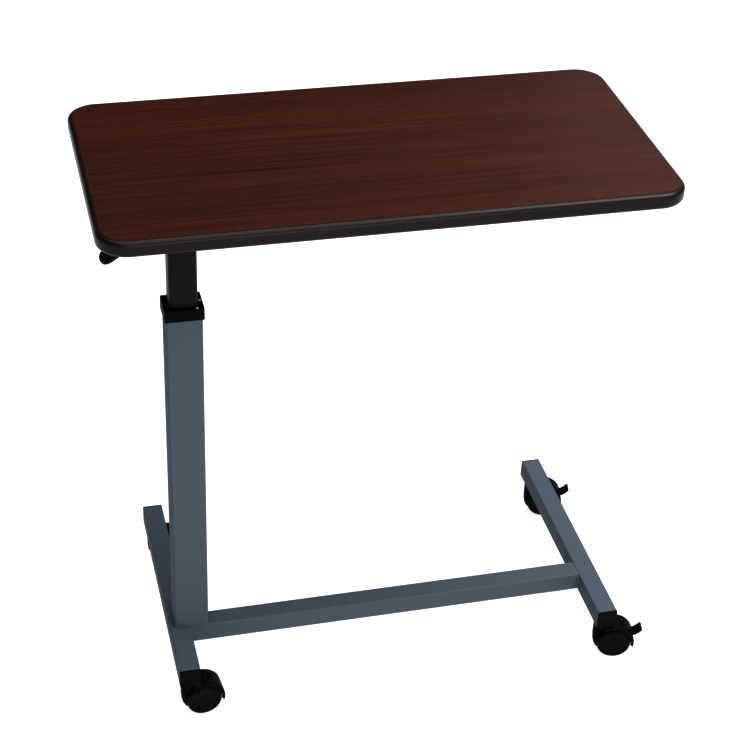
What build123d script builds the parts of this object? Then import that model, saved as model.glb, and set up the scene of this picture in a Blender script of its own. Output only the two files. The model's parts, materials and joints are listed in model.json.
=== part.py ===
from build123d import *
import os
from math import atan2, cos, degrees, hypot, radians, sin

# Overbed table: a wood-laminate top on an off-centre telescopic mast, over an H-shaped
# base on four hooded twin-wheel casters. Millimetres. The origin is on the floor, under
# the middle of the whole table. +X runs from the mast to the far rail, +Y from the
# front to the back, +Z up.

# ---- tabletop
TOP_LENGTH, TOP_DEPTH = 762.0, 381.0
TOP_HEIGHT = 800.0
TOP_THICKNESS = 22.0
TOP_CENTRE_X = -13.0
TOP_CORNER_RADIUS = 40.0
MOULDING_WIDTH, MOULDING_ROUND = 7.0, 6.6
BARB_DEPTH, BARB_THICKNESS = 8.0, 2.4
LAMINATE = 0.8
TOP_UNDERSIDE = TOP_HEIGHT - TOP_THICKNESS

# ---- fits, per side
RUNNING_FIT = 0.05
CLEARANCE_HOLE = 0.2
CLOSE_FIT = 0.02
PLUG_GAP = 0.1
SLIDE_GAP = 0.3
OVERSHOOT = 1.0  # how far a cutting tool runs past the face that it cuts

# ---- base
RAIL_SIZE, RAIL_WALL, RAIL_CORNER = 30.0, 1.5, 2.4
RAIL_LENGTH, RAIL_Y = 377.0, -1.8
RAIL_UNDERSIDE = 60.8
RAIL_TOP = RAIL_UNDERSIDE + RAIL_SIZE
RAIL_MIDDLE_Z = RAIL_UNDERSIDE + RAIL_SIZE / 2
LEFT_RAIL_X, RIGHT_RAIL_X = -296.6, 332.9
CAP_FLANGE, CAP_PLUG, CAP_WALL = 3.0, 8.0, 2.0
CAP_EDGE_ROUND, CAP_PLUG_CORNER = 1.4, 1.0
WELD_LEG = 3.0

# ---- mast and inner column
MAST_X = -279.3
MAST_WIDTH, MAST_DEPTH, MAST_WALL, MAST_CORNER = 48.6, 38.0, 1.5, 3.0
MAST_TOP = 638.0
MAST_Y = -82.2
CROSS_Y = MAST_Y - MAST_DEPTH / 2 + RAIL_SIZE / 2
COLUMN_WIDTH, COLUMN_DEPTH, COLUMN_CORNER = 37.6, 32.0, 6.0
COLUMN_BOTTOM = 195.0
COLLAR_OVERHANG, COLLAR_BOTTOM, COLLAR_TOP = 2.3, 624.0, 641.5
COLLAR_CORNER, COLLAR_EDGE_ROUND = 2.0, 0.8
SLEEVE_BOTTOM, SLEEVE_CORNER = 585.0, 1.4
PEG_RADIUS, PEG_Z, PEG_OFFSET_Y, PEG_PROUD = 3.3, 593.0, 5.0, 0.4
COLLAR_SCREW_RADIUS, COLLAR_SCREW_HEAD_RADIUS, COLLAR_SCREW_HEAD = 1.2, 2.2, 1.3
COLLAR_SCREW_INSET = 2.0
BUSH_HEIGHT, BUSH_LIP, BUSH_CORNER = 40.0, 3.0, 1.5
FOOT_PLATE, FOOT_CORNER = 8.0, 1.5
MAST_BOLT_X = (-293.0, -267.0)
MAST_BOLT_RADIUS, BOLT_HEAD_RADIUS, BOLT_HEAD = 4.0, 7.5, 5.3
WASHER_RADIUS, WASHER = 9.0, 1.6

# ---- locking gas spring
CYLINDER_RADIUS, CYLINDER_WALL, CYLINDER_TOP, CYLINDER_BASE = 10.0, 1.5, 600.0, 6.0
ROD_RADIUS, ROD_BOTTOM, ROD_TOP = 5.0, 230.0, 761.5
SPIGOT_BOTTOM = RAIL_TOP + 0.6
PISTON_HEIGHT, ROD_GUIDE_HEIGHT = 14.0, 12.0
RELEASE_PIN_RADIUS, RELEASE_PIN_TOP, RELEASE_PIN_LENGTH, RELEASE_PIN_ROUND = 1.5, 767.8, 44.0, 0.8
PIN_BORE_SPARE = 8.0
ROD_NUT_RADIUS, ROD_NUT = 9.8, 6.0

# ---- support under the top
BEAM_BOTTOM, BEAM_SHEET = 753.0, 2.0
BEAM_WIDTH, FLANGE_WIDTH = 50.0, 20.0
BEAM_START, BEAM_END = -324.0, 166.0
BEAM_ROD_GAP = 0.3
CROSS_BAR_WIDTH, CROSS_BAR_LENGTH, CROSS_BAR, CROSS_BAR_CORNER = 25.0, 280.0, 3.0, 3.0
SCREW_RADIUS, SCREW_HEAD_RADIUS, SCREW_HEAD, SCREW_HEAD_ROUND, SCREW_DEPTH = 2.0, 4.0, 2.2, 1.2, 15.0
FLANGE_SCREW_X = (BEAM_START + 24.0, -80.0, BEAM_END - 24.0)
BAR_SCREW_INSET = 15.0

# ---- release lever
PIVOT_X, PIVOT_Z = MAST_X - 30.0, 764.0
PIVOT_RADIUS, PIVOT_OVERHANG, BARREL_RADIUS = 2.5, 3.0, 4.5
CLIP_RADIUS, CLIP_GAP, CLIP = 5.0, 0.3, 1.2
LEVER_WIDTH, LEVER_THICKNESS = 16.0, 3.0
LEVER_TIP = (-377.0, 718.0)
LEVER_PATH = ((MAST_X + 6, 769.8), (-322.0, 769.8), (-350.0, 736.0), LEVER_TIP)
GRIP_WIDTH, GRIP_THICKNESS, GRIP_END, GRIP_CORNER, GRIP_ROUND = 31.0, 9.0, 6.0, 13.0, 3.0
GRIP_POCKET_GAP = 0.03
SPRING_WIRE, SPRING_RADIUS, SPRING_PITCH, SPRING_TURNS, SPRING_LEG = 0.6, 3.6, 1.5, 5, 9.0
SPRING_GAP = 1.2

# ---- casters
WHEEL_RADIUS = 25.4
WHEEL_SHOULDER, WHEEL_INNER_ROUND = 3.0, 1.6
WHEEL_RIM, WHEEL_HUB, WHEEL_HOLLOW, WHEEL_BORE_END = 21.0, 7.0, 4.5, 2.0
TRAIL = 19.5
STEM_INSET = 15.5
STEM_RADIUS, STEM_BOTTOM, STEM_REACH, STEM_FLANGE_RADIUS = 4.0, 31.0, 11.0, 9.0
CASTER_NUT_RADIUS, CASTER_NUT = 7.5, 6.5
BODY_TOP = 58.0
CROWN_RADIUS, CROWN_HEIGHT, CROWN_ROUND = 11.5, 7.6, 1.0
NOSE = ((-11.5, 57.0), (-11.5, 32.0), (-10.5, 21.0), (-5.5, 11.5), (16.0, 7.0), (16.0, 51.0), (4.0, 57.0))
WEB_RADIUS, WEB_INNER = WHEEL_RADIUS - 1.5, 18.0
WEB_SPANS = ((74.0, 122.0), (-14.0, 12.0))
WEB_HALF, WHEEL_INNER, WHEEL_OUTER, HOOD_HALF = 6.0, 6.6, 16.6, 17.0
HOOD_OUTER, HOOD_INNER = 32.0, 29.6
HOOD_START, HOOD_END, HOOD_SHIFT = -14.0, 122.0, 1.2
AXLE_RADIUS, AXLE_HALF = 3.0, 14.5
BRAKE_PIN_RADIUS, BRAKE_PIN_REACH, BRAKE_PIN_ANGLE = 1.2, 28.4, 60.0
BRAKE_HALF, BRAKE_GAP, BRAKE_LUG_RADIUS, BRAKE_LUG = 8.6, 0.4, 2.5, 2.2
BRAKE_SLOT = (26.0, 14.0, 70.0)  # inner radius, first and last angle
SHOE_INNER, SHOE_OUTER, SHOE_START, SHOE_END = 28.6, 31.8, 27.0, 66.0
SHOE_BARREL_RADIUS, PEDAL_THICKNESS = 2.4, 3.0
PEDAL_PATH = ((46.8, 38.0), (51.0, 39.0), (56.3, 43.0), (60.6, 48.2))
# name, rail centre, which end (-1 front, 1 back), rest swivel in degrees, has a brake
CASTERS = (
    ("front_left", LEFT_RAIL_X, -1, 6.0, False),
    ("front_right", RIGHT_RAIL_X, -1, -12.0, True),
    ("back_right", RIGHT_RAIL_X, 1, -12.0, True),
    ("back_left", LEFT_RAIL_X, 1, -12.5, False),
)


def block(x, y, z):
    """A box between low and high limits on each axis."""
    size = [high - low for low, high in (x, y, z)]
    middle = [(high + low) / 2 for low, high in (x, y, z)]
    return Pos(*middle) * Box(*size)


def post(radius, low, high, x=0.0, y=0.0):
    """An upright cylinder between two heights."""
    return Pos(x, y, (low + high) / 2) * Cylinder(radius, high - low)


def rod_along_y(radius, low, high, x, z):
    """A cylinder along Y between two depths."""
    return Pos(x, (low + high) / 2, z) * Rot(90, 0, 0) * Cylinder(radius, high - low)


def tube(width, depth, wall, corner, length):
    """A hollow rectangular tube along Z, centred on the origin."""
    outside = RectangleRounded(width, depth, corner)
    inside = RectangleRounded(width - 2 * wall, depth - 2 * wall, corner - wall)
    return extrude(outside - inside, amount=length / 2, both=True)


def plate(width, depth, corner, low, high, x=0.0, y=0.0):
    """A flat plate with rounded corners between two heights."""
    return Pos(x, y, low) * extrude(RectangleRounded(width, depth, corner), amount=high - low)


def across(sketch, half_width):
    """A side view in X and Z, made solid to both sides of the XZ plane."""
    return extrude(Plane.XZ * sketch, amount=half_width, both=True)


def sector(inner, outer, start, end):
    """A ring sector about the origin between two angles in degrees."""
    reach, steps = 3 * outer, 4
    angles = [radians(start + (end - start) * i / steps) for i in range(steps + 1)]
    wedge = [(reach * cos(a), reach * sin(a)) for a in angles]
    return (Circle(outer) - Circle(inner)) & make_face(Polyline((0, 0), *wedge, close=True))


def strip(path, thickness):
    """The side view of a flat bar bent along a path, with mitred bends."""
    left, right = [], []
    for i, (x, z) in enumerate(path):
        before = path[max(i - 1, 0)]
        after = path[min(i + 1, len(path) - 1)]
        into = (x - before[0], z - before[1]) if i else (after[0] - x, after[1] - z)
        out = (after[0] - x, after[1] - z) if i < len(path) - 1 else into
        a, b = (atan2(v[1], v[0]) for v in (into, out))
        middle, reach = (a + b) / 2, thickness / 2 / cos((a - b) / 2)
        left.append((x - reach * sin(middle), z + reach * cos(middle)))
        right.append((x + reach * sin(middle), z - reach * cos(middle)))
    return make_face(Polyline(*left, *reversed(right), close=True))


def hex_nut(circumradius, bore, low, high, x=0.0, y=0.0):
    hexagon = RegularPolygon(circumradius, 6) - Circle(bore)
    return Pos(x, y, low) * extrude(hexagon, amount=high - low)


# ---- base frame

def stem_place(rail_x, end):
    """Stem position on the floor plan, near one end of a side rail."""
    return rail_x, RAIL_Y + end * (RAIL_LENGTH / 2 - STEM_INSET)


def caster_places():
    return [stem_place(x, end) for _, x, end, _, _ in CASTERS]


def base_rail(x):
    rail = Pos(x, RAIL_Y, RAIL_MIDDLE_Z) * Rot(90, 0, 0) * tube(
        RAIL_SIZE, RAIL_SIZE, RAIL_WALL, RAIL_CORNER, RAIL_LENGTH
    )
    for end in (-1, 1):
        bore = STEM_RADIUS + CLEARANCE_HOLE
        rail -= post(bore, RAIL_UNDERSIDE - OVERSHOOT, RAIL_MIDDLE_Z, *stem_place(x, end))
    return rail


def bolt_hole(x):
    bore = MAST_BOLT_RADIUS + CLEARANCE_HOLE
    return post(bore, RAIL_UNDERSIDE - OVERSHOOT, RAIL_TOP + OVERSHOOT, x, CROSS_Y)


def cross_rail():
    start, end = LEFT_RAIL_X + RAIL_SIZE / 2, RIGHT_RAIL_X - RAIL_SIZE / 2
    rail = Pos((start + end) / 2, CROSS_Y, RAIL_MIDDLE_Z) * Rot(0, 90, 0) * tube(
        RAIL_SIZE, RAIL_SIZE, RAIL_WALL, RAIL_CORNER, end - start
    )
    return rail - bolt_hole(MAST_BOLT_X[1])


def rail_end_caps():
    """A moulded flange with a hollow plug, pressed into each open rail end."""
    outside = RAIL_SIZE - 2 * RAIL_WALL - 2 * PLUG_GAP
    inside = outside - 2 * CAP_WALL
    flange = extrude(RectangleRounded(RAIL_SIZE, RAIL_SIZE, RAIL_CORNER), amount=CAP_FLANGE)
    flange = fillet(flange.faces().sort_by(Axis.Z)[-1].edges(), CAP_EDGE_ROUND)
    ring = RectangleRounded(outside, outside, CAP_PLUG_CORNER)
    ring -= RectangleRounded(inside, inside, CAP_PLUG_CORNER)
    cap = flange + extrude(ring, amount=-CAP_PLUG)
    return [Pos(x, RAIL_Y + end * RAIL_LENGTH / 2, RAIL_MIDDLE_Z) * Rot(-90 * end, 0, 0) * cap
            for x in (LEFT_RAIL_X, RIGHT_RAIL_X) for end in (-1, 1)]


def weld_beads():
    """Fillet welds down both sides of the two joints between cross rail and side rails."""
    section = Polygon((0, 0), (WELD_LEG, 0), (0, WELD_LEG), align=None)
    bead = extrude(section, amount=RAIL_SIZE - 2 * RAIL_CORNER)
    left_x, right_x = LEFT_RAIL_X + RAIL_SIZE / 2, RIGHT_RAIL_X - RAIL_SIZE / 2
    corners = ((left_x, 1, 0), (left_x, -1, -90), (right_x, 1, 90), (right_x, -1, 180))
    low = RAIL_UNDERSIDE + RAIL_CORNER
    return [Pos(x, CROSS_Y + side * RAIL_SIZE / 2, low) * Rot(0, 0, turn) * bead
            for x, side, turn in corners]


# ---- mast

def mast_tube():
    height = MAST_TOP - RAIL_TOP
    mast = Pos(MAST_X, MAST_Y, RAIL_TOP + height / 2) * tube(
        MAST_WIDTH, MAST_DEPTH, MAST_WALL, MAST_CORNER, height
    )
    hole = Pos(MAST_X - MAST_WIDTH / 2, MAST_Y + PEG_OFFSET_Y, PEG_Z) * Rot(0, 90, 0) * Cylinder(
        PEG_RADIUS + CLEARANCE_HOLE, 3 * MAST_WALL
    )
    return mast - hole


def mast_foot_plate():
    inside_x, inside_y = (size - 2 * (MAST_WALL + RUNNING_FIT) for size in (MAST_WIDTH, MAST_DEPTH))
    low, high = RAIL_TOP, RAIL_TOP + FOOT_PLATE
    foot = plate(inside_x, inside_y, FOOT_CORNER, low, high, MAST_X, MAST_Y)
    for x in MAST_BOLT_X:
        foot -= post(MAST_BOLT_RADIUS + RUNNING_FIT, low - OVERSHOOT, high + OVERSHOOT, x, CROSS_Y)
    return foot - post(ROD_RADIUS + RUNNING_FIT, low - OVERSHOOT, high + OVERSHOOT, MAST_X, MAST_Y)


def mast_bolts():
    """Two bolts from under the base, through the rails, into the foot plate."""
    seat = RAIL_UNDERSIDE - WASHER
    head = extrude(RegularPolygon(BOLT_HEAD_RADIUS, 6), amount=BOLT_HEAD)
    return [post(MAST_BOLT_RADIUS, seat - BOLT_HEAD / 2, RAIL_TOP + FOOT_PLATE - 1, x, CROSS_Y)
            + Pos(x, CROSS_Y, seat - BOLT_HEAD) * head for x in MAST_BOLT_X]


def mast_bolt_washers():
    low, high = RAIL_UNDERSIDE - WASHER, RAIL_UNDERSIDE
    bore = MAST_BOLT_RADIUS + CLEARANCE_HOLE
    ring = post(WASHER_RADIUS, low, high) - post(bore, low - OVERSHOOT, high + OVERSHOOT)
    return [Pos(x, CROSS_Y, 0) * ring for x in MAST_BOLT_X]


def mast_collar():
    """Plastic cap over the mast's mouth, with a guide sleeve inside and a snap peg."""
    width, depth = MAST_WIDTH + 2 * COLLAR_OVERHANG, MAST_DEPTH + 2 * COLLAR_OVERHANG
    cap = plate(width, depth, COLLAR_CORNER, COLLAR_BOTTOM, COLLAR_TOP, MAST_X, MAST_Y)
    cap = fillet(cap.faces().sort_by(Axis.Z)[-1].edges(), COLLAR_EDGE_ROUND)
    cap -= plate(MAST_WIDTH + 2 * RUNNING_FIT, MAST_DEPTH + 2 * RUNNING_FIT, MAST_CORNER,
                 COLLAR_BOTTOM - OVERSHOOT, MAST_TOP, MAST_X, MAST_Y)
    sleeve_x, sleeve_y = (size - 2 * (MAST_WALL + PLUG_GAP) for size in (MAST_WIDTH, MAST_DEPTH))
    cap += plate(sleeve_x, sleeve_y, SLEEVE_CORNER, SLEEVE_BOTTOM, MAST_TOP + OVERSHOOT, MAST_X, MAST_Y)
    peg_end, peg_start = MAST_WIDTH / 2 - PEG_PROUD, sleeve_x / 2 - OVERSHOOT
    cap += Pos(MAST_X - (peg_end + peg_start) / 2, MAST_Y + PEG_OFFSET_Y, PEG_Z) * Rot(0, 90, 0) * Cylinder(
        PEG_RADIUS, peg_end - peg_start
    )
    opening = plate(COLUMN_WIDTH + 2 * SLIDE_GAP, COLUMN_DEPTH + 2 * SLIDE_GAP, COLUMN_CORNER,
                    SLEEVE_BOTTOM - OVERSHOOT, COLLAR_TOP + OVERSHOOT, MAST_X, MAST_Y)
    for x, y in collar_screw_places():
        bore = COLLAR_SCREW_RADIUS + RUNNING_FIT
        cap -= post(bore, MAST_TOP + CLEARANCE_HOLE, COLLAR_TOP + OVERSHOOT, x, y)
    return cap - opening


def collar_screw_places():
    """The middle of the collar's top band, at its right and at its front right."""
    right = (MAST_WIDTH + COLUMN_WIDTH) / 4 + COLLAR_OVERHANG / 2
    front = (MAST_DEPTH + COLUMN_DEPTH) / 4 + COLLAR_OVERHANG / 2
    return (MAST_X + right, MAST_Y), (MAST_X + COLUMN_WIDTH / 2 - COLLAR_SCREW_INSET, MAST_Y - front)


def collar_screws():
    tip, middle_of_head = MAST_TOP + 2 * CLEARANCE_HOLE, COLLAR_TOP + COLLAR_SCREW_HEAD / 2
    screw = post(COLLAR_SCREW_HEAD_RADIUS, COLLAR_TOP, COLLAR_TOP + COLLAR_SCREW_HEAD)
    screw += post(COLLAR_SCREW_RADIUS, tip, middle_of_head)
    return [Pos(x, y, 0) * screw for x, y in collar_screw_places()]


# ---- gas spring

def gas_spring_cylinder():
    """Pressure tube with a closed bottom and a spigot in the foot plate."""
    bottom, inside = RAIL_TOP + FOOT_PLATE, CYLINDER_RADIUS - CYLINDER_WALL
    body = post(CYLINDER_RADIUS, bottom, CYLINDER_TOP, MAST_X, MAST_Y)
    body -= post(inside, bottom + CYLINDER_BASE, CYLINDER_TOP + OVERSHOOT, MAST_X, MAST_Y)
    return body + post(ROD_RADIUS, SPIGOT_BOTTOM, bottom + OVERSHOOT, MAST_X, MAST_Y)


def ring_on_rod(outside, bore, low, high):
    ring = post(outside, low, high, MAST_X, MAST_Y)
    return ring - post(bore, low - OVERSHOOT, high + OVERSHOOT, MAST_X, MAST_Y)


def gas_spring_rod_guide():
    outside = CYLINDER_RADIUS - CYLINDER_WALL - CLOSE_FIT
    return ring_on_rod(outside, ROD_RADIUS + RUNNING_FIT, CYLINDER_TOP - ROD_GUIDE_HEIGHT, CYLINDER_TOP)


def gas_spring_piston():
    outside = CYLINDER_RADIUS - CYLINDER_WALL - PLUG_GAP
    return ring_on_rod(outside, ROD_RADIUS + CLOSE_FIT, ROD_BOTTOM, ROD_BOTTOM + PISTON_HEIGHT)


def gas_spring_rod():
    """Piston rod with a blind bore for the release pin."""
    bore_bottom = RELEASE_PIN_TOP - RELEASE_PIN_LENGTH - PIN_BORE_SPARE
    rod = post(ROD_RADIUS, ROD_BOTTOM, ROD_TOP, MAST_X, MAST_Y)
    return rod - post(RELEASE_PIN_RADIUS + RUNNING_FIT, bore_bottom, ROD_TOP + OVERSHOOT, MAST_X, MAST_Y)


def gas_spring_release_pin():
    pin = post(RELEASE_PIN_RADIUS, RELEASE_PIN_TOP - RELEASE_PIN_LENGTH, RELEASE_PIN_TOP, MAST_X, MAST_Y)
    return fillet(pin.edges().sort_by(Axis.Z)[-1], RELEASE_PIN_ROUND)


def rod_lock_nuts():
    """One nut above and one below the beam's web."""
    return [hex_nut(ROD_NUT_RADIUS, ROD_RADIUS + RUNNING_FIT, low, low + ROD_NUT, MAST_X, MAST_Y)
            for low in (BEAM_BOTTOM - ROD_NUT, BEAM_BOTTOM + BEAM_SHEET)]


# ---- lift: column and support

def inner_column():
    height = BEAM_BOTTOM - COLUMN_BOTTOM
    return Pos(MAST_X, MAST_Y, COLUMN_BOTTOM + height / 2) * tube(
        COLUMN_WIDTH, COLUMN_DEPTH, MAST_WALL, COLUMN_CORNER, height
    )


def column_guide_bush():
    """Plastic shoe round the foot of the inner column, sliding in the mast."""
    low, high = COLUMN_BOTTOM - BUSH_LIP, COLUMN_BOTTOM + BUSH_HEIGHT
    outside_x, outside_y = (size - 2 * (MAST_WALL + SLIDE_GAP) for size in (MAST_WIDTH, MAST_DEPTH))
    shoe = plate(outside_x, outside_y, BUSH_CORNER, low, high, MAST_X, MAST_Y)
    shoe -= plate(COLUMN_WIDTH + 2 * CLOSE_FIT, COLUMN_DEPTH + 2 * CLOSE_FIT, COLUMN_CORNER,
                  COLUMN_BOTTOM, high + OVERSHOOT, MAST_X, MAST_Y)
    inside_x, inside_y = COLUMN_WIDTH - 2 * MAST_WALL, COLUMN_DEPTH - 2 * MAST_WALL
    return shoe - plate(inside_x, inside_y, COLUMN_CORNER - MAST_WALL, low - OVERSHOOT, high, MAST_X, MAST_Y)


def flange_screw_places():
    offset = BEAM_WIDTH / 2 + FLANGE_WIDTH / 2
    return [(x, MAST_Y + side * offset) for x in FLANGE_SCREW_X for side in (-1, 1)]


def cross_bar_middles():
    return BEAM_START - CROSS_BAR_WIDTH / 2, BEAM_END + CROSS_BAR_WIDTH / 2


def bar_screw_places():
    reach = CROSS_BAR_LENGTH / 2 - BAR_SCREW_INSET
    return [(x, side * reach) for x in cross_bar_middles() for side in (-1, 1)]


def support_beam():
    """Hat-section sheet channel under the top, carrying the column and the lever pivot."""
    length = (BEAM_START, BEAM_END)
    half, low, high = BEAM_WIDTH / 2, BEAM_BOTTOM, TOP_UNDERSIDE
    beam = block(length, (MAST_Y - half, MAST_Y + half), (low, low + BEAM_SHEET))
    for side in (-1, 1):
        inner, outer = sorted((MAST_Y + side * (half - BEAM_SHEET), MAST_Y + side * half))
        beam += block(length, (inner, outer), (low, high))
        near, far = sorted((MAST_Y + side * half, MAST_Y + side * (half + FLANGE_WIDTH)))
        beam += block(length, (near, far), (high - BEAM_SHEET, high))
    beam -= post(ROD_RADIUS + BEAM_ROD_GAP, low - OVERSHOOT, low + 2 * BEAM_SHEET, MAST_X, MAST_Y)
    beam -= pivot_bore(half)
    for x, y in flange_screw_places():
        beam -= post(SCREW_RADIUS + CLEARANCE_HOLE, high - 2 * BEAM_SHEET, high + OVERSHOOT, x, y)
    return beam


def cross_bar(middle_x):
    low, high = TOP_UNDERSIDE - CROSS_BAR, TOP_UNDERSIDE
    bar = plate(CROSS_BAR_WIDTH, CROSS_BAR_LENGTH, CROSS_BAR_CORNER, low, high, middle_x)
    for x, y in bar_screw_places():
        bar -= post(SCREW_RADIUS + CLEARANCE_HOLE, low - OVERSHOOT, high + OVERSHOOT, x, y)
    return bar


# ---- tabletop

def top_plan(inset):
    return RectangleRounded(TOP_LENGTH - 2 * inset, TOP_DEPTH - 2 * inset, TOP_CORNER_RADIUS - inset)


def top_layer(low, high):
    return Pos(TOP_CENTRE_X, 0, low) * extrude(top_plan(MOULDING_WIDTH), amount=high - low)


def barb_ring(clearance):
    """The ring that the moulding's barb fills, or its groove when given a clearance."""
    inset = MOULDING_WIDTH + BARB_DEPTH + clearance
    height = BARB_THICKNESS + 2 * clearance
    middle = TOP_UNDERSIDE + TOP_THICKNESS / 2
    ring = top_plan(MOULDING_WIDTH - RUNNING_FIT) - top_plan(inset)
    return Pos(TOP_CENTRE_X, 0, middle - height / 2) * extrude(ring, amount=height)


def tabletop_board():
    board = top_layer(TOP_UNDERSIDE + LAMINATE, TOP_HEIGHT - LAMINATE) - barb_ring(RUNNING_FIT)
    return drilled(board)


def backing_laminate():
    return drilled(top_layer(TOP_UNDERSIDE, TOP_UNDERSIDE + LAMINATE))


def drilled(layer):
    """A layer of the top with its pilot holes for the wood screws."""
    deepest = TOP_UNDERSIDE + SCREW_DEPTH + OVERSHOOT
    for x, y in screw_places():
        layer -= post(SCREW_RADIUS + RUNNING_FIT, TOP_UNDERSIDE - OVERSHOOT, deepest, x, y)
    return layer


def edge_moulding():
    """T-shaped edging: a rounded outer bead and a barb pressed into the board's groove."""
    bead = Pos(TOP_CENTRE_X, 0, TOP_UNDERSIDE) * extrude(top_plan(0), amount=TOP_THICKNESS)
    rims = bead.faces().sort_by(Axis.Z)
    bead = fillet(rims[0].edges() + rims[-1].edges(), MOULDING_ROUND)
    bead -= top_layer(TOP_UNDERSIDE - OVERSHOOT, TOP_HEIGHT + OVERSHOOT)
    return bead + barb_ring(0.0)


def screw_places():
    return flange_screw_places() + bar_screw_places()


def tabletop_screws():
    """Pan-head wood screws through the beam flanges and the cross bars."""
    seats = [(place, TOP_UNDERSIDE - BEAM_SHEET) for place in flange_screw_places()]
    seats += [(place, TOP_UNDERSIDE - CROSS_BAR) for place in bar_screw_places()]
    screws = []
    for (x, y), seat in seats:
        head = post(SCREW_HEAD_RADIUS, seat - SCREW_HEAD, seat, x, y)
        head = fillet(head.edges().sort_by(Axis.Z)[0], SCREW_HEAD_ROUND)
        screws.append(head + post(SCREW_RADIUS, seat - SCREW_HEAD / 2, TOP_UNDERSIDE + SCREW_DEPTH, x, y))
    return screws


# ---- release lever

def along_pivot(radius, half_width):
    """A cylinder on the lever's pivot axis, to both sides of the column's middle."""
    return rod_along_y(radius, MAST_Y - half_width, MAST_Y + half_width, PIVOT_X, PIVOT_Z)


def pivot_bore(half_width, fit=RUNNING_FIT):
    return along_pivot(PIVOT_RADIUS + fit, half_width + OVERSHOOT)


def lever_pivot_pin():
    return along_pivot(PIVOT_RADIUS, BEAM_WIDTH / 2 + PIVOT_OVERHANG)


def pivot_clips():
    """A push-on clip on each end of the pivot pin."""
    near = BEAM_WIDTH / 2 + CLIP_GAP
    ring = rod_along_y(CLIP_RADIUS, near, near + CLIP, PIVOT_X, PIVOT_Z)
    return [Pos(0, MAST_Y + shift, 0) * ring - pivot_bore(near + CLIP, CLOSE_FIT)
            for shift in (0, -2 * near - CLIP)]


def lever_solid(width, extra=0.0):
    """The bent flat bar, optionally thickened all round for cutting its pocket."""
    return Pos(0, MAST_Y, 0) * across(strip(LEVER_PATH, LEVER_THICKNESS + 2 * extra), width / 2 + extra)


def release_lever_arm():
    """Bent flat bar with a barrel that turns on the pivot pin."""
    half = LEVER_WIDTH / 2
    return lever_solid(LEVER_WIDTH) + along_pivot(BARREL_RADIUS, half) - pivot_bore(half)


def release_lever_grip():
    """Moulded paddle over the lever's end, with a rounded nose."""
    bend, tip = LEVER_PATH[-2], LEVER_PATH[-1]
    length = hypot(tip[0] - bend[0], tip[1] - bend[1]) + GRIP_END
    slope = degrees(atan2(bend[1] - tip[1], bend[0] - tip[0]))
    plan = Pos(-length / 2, 0) * RectangleRounded(length, GRIP_WIDTH, GRIP_CORNER)
    paddle = extrude(plan, amount=GRIP_THICKNESS / 2, both=True)
    faces = paddle.faces().sort_by(Axis.Z)
    paddle = fillet(faces[0].edges() + faces[-1].edges(), GRIP_ROUND)
    placed = Pos(bend[0], MAST_Y, bend[1]) * Rot(0, -slope, 0) * paddle
    return placed - lever_solid(LEVER_WIDTH, GRIP_POCKET_GAP)


def lever_return_spring():
    """Torsion spring on the pivot pin, beside the lever's barrel."""
    height = SPRING_PITCH * SPRING_TURNS
    path = Helix(pitch=SPRING_PITCH, height=height, radius=SPRING_RADIUS)
    spring = sweep(Plane(origin=path @ 0, z_dir=path % 0) * Circle(SPRING_WIRE), path=path)
    leg = Rot(90, 0, 0) * Cylinder(SPRING_WIRE, SPRING_LEG)
    for side, z in ((-1, 0.0), (1, height)):
        spring += Pos(SPRING_RADIUS, side * SPRING_LEG / 2, z) * leg
    start = MAST_Y + LEVER_WIDTH / 2 + SPRING_GAP
    return Pos(PIVOT_X, start, PIVOT_Z) * Rot(-90, 0, 0) * Rot(0, 0, 90) * spring


# ---- casters, built with the stem on the Z axis and trailing towards +X

def place_caster(shape, caster):
    _, rail_x, end, swivel, _ = caster
    return Pos(*stem_place(rail_x, end), 0) * Rot(0, 0, swivel) * shape


def about_axle(sketch):
    return Pos(TRAIL, WHEEL_RADIUS) * sketch


def about_hood(sketch):
    """The hood's arc is centred a little higher than the axle, and nearer the stem."""
    return Pos(-HOOD_SHIFT, HOOD_SHIFT) * about_axle(sketch)


def brake_pin_place():
    angle = radians(BRAKE_PIN_ANGLE)
    return TRAIL + BRAKE_PIN_REACH * cos(angle), WHEEL_RADIUS + BRAKE_PIN_REACH * sin(angle)


def caster_body(braked):
    """Swivelling hood, centre web and stem boss in one moulding."""
    body = across(about_hood(sector(HOOD_INNER, HOOD_OUTER, HOOD_START, HOOD_END)), HOOD_HALF)
    body += across(Polygon(*NOSE, align=None), WEB_HALF)
    body += across(about_axle(Circle(WEB_RADIUS)), WEB_HALF)
    for start, end in WEB_SPANS:
        body += across(about_hood(sector(WEB_INNER, HOOD_INNER + OVERSHOOT, start, end)), WEB_HALF)
    crown = post(CROWN_RADIUS, BODY_TOP - CROWN_HEIGHT, BODY_TOP)
    body += fillet(crown.edges().sort_by(Axis.Z)[-1], CROWN_ROUND)
    if braked:
        body = make_brake_slot(body)
    body -= post(STEM_RADIUS + RUNNING_FIT, STEM_BOTTOM - OVERSHOOT, BODY_TOP + OVERSHOOT)
    return body - rod_along_y(AXLE_RADIUS + CLOSE_FIT, -HOOD_HALF, HOOD_HALF, TRAIL, WHEEL_RADIUS)


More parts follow.
